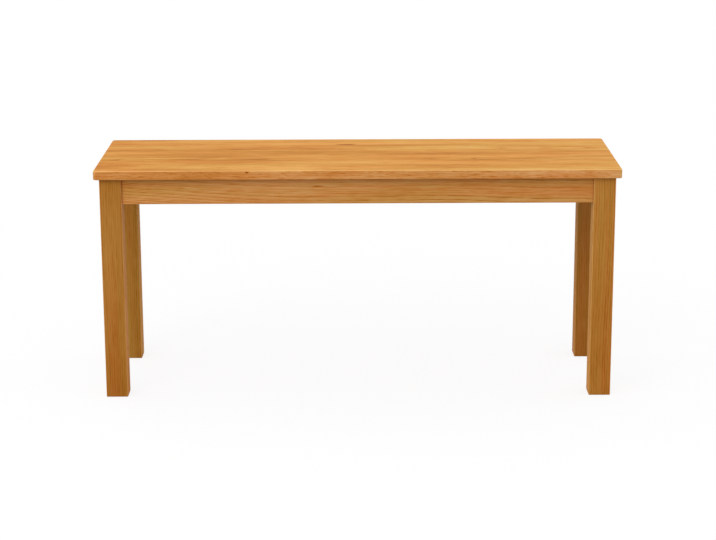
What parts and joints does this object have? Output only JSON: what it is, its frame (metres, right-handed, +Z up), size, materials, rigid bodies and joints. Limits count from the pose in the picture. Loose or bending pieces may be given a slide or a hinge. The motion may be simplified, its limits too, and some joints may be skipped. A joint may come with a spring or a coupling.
{
  "type": "dining bench",
  "caption": "Plain backless wooden dining bench: an edge-glued slab seat with eased edges on square legs, joined by aprons, corner blocks and leg bolts.",
  "frame": {"origin": "on the floor under the middle of the seat", "axes": "+X along the bench, to the right seen from the front; +Y from the front to the back; +Z up"},
  "size_m": [1, 0.32, 0.45],
  "materials": {
    "seat_oak": "honey oak under satin lacquer",
    "leg_oak": "honey oak under satin lacquer",
    "apron_oak": "honey oak under satin lacquer",
    "inner_wood": "planed, unlacquered",
    "dowel_beech": "plain beech",
    "bolt_steel": "bright zinc plate",
    "insert_steel": "zinc plate",
    "screw_steel": "yellow passivated zinc"
  },
  "bodies": {
    "root": {"seat_stave_1_front": "seat_oak", "seat_stave_2": "seat_oak", "seat_stave_3": "seat_oak", "seat_stave_4": "seat_oak", "seat_stave_5_back": "seat_oak", "leg_front_left": "leg_oak", "leg_front_right": "leg_oak", "leg_back_left": "leg_oak", "leg_back_right": "leg_oak", "apron_front": "apron_oak", "apron_back": "apron_oak", "apron_left": "apron_oak", "apron_right": "apron_oak", "centre_rail": "inner_wood", "corner_block_front_left": "inner_wood", "corner_block_front_right": "inner_wood", "corner_block_back_left": "inner_wood", "corner_block_back_right": "inner_wood", "rail_dowels": "dowel_beech", "leg_bolts": "bolt_steel", "flat_washers": "bolt_steel", "spring_washers": "bolt_steel", "leg_insert_nuts": "insert_steel", "block_screws": "screw_steel", "seat_screws": "screw_steel"}
  },
  "joints": []
}
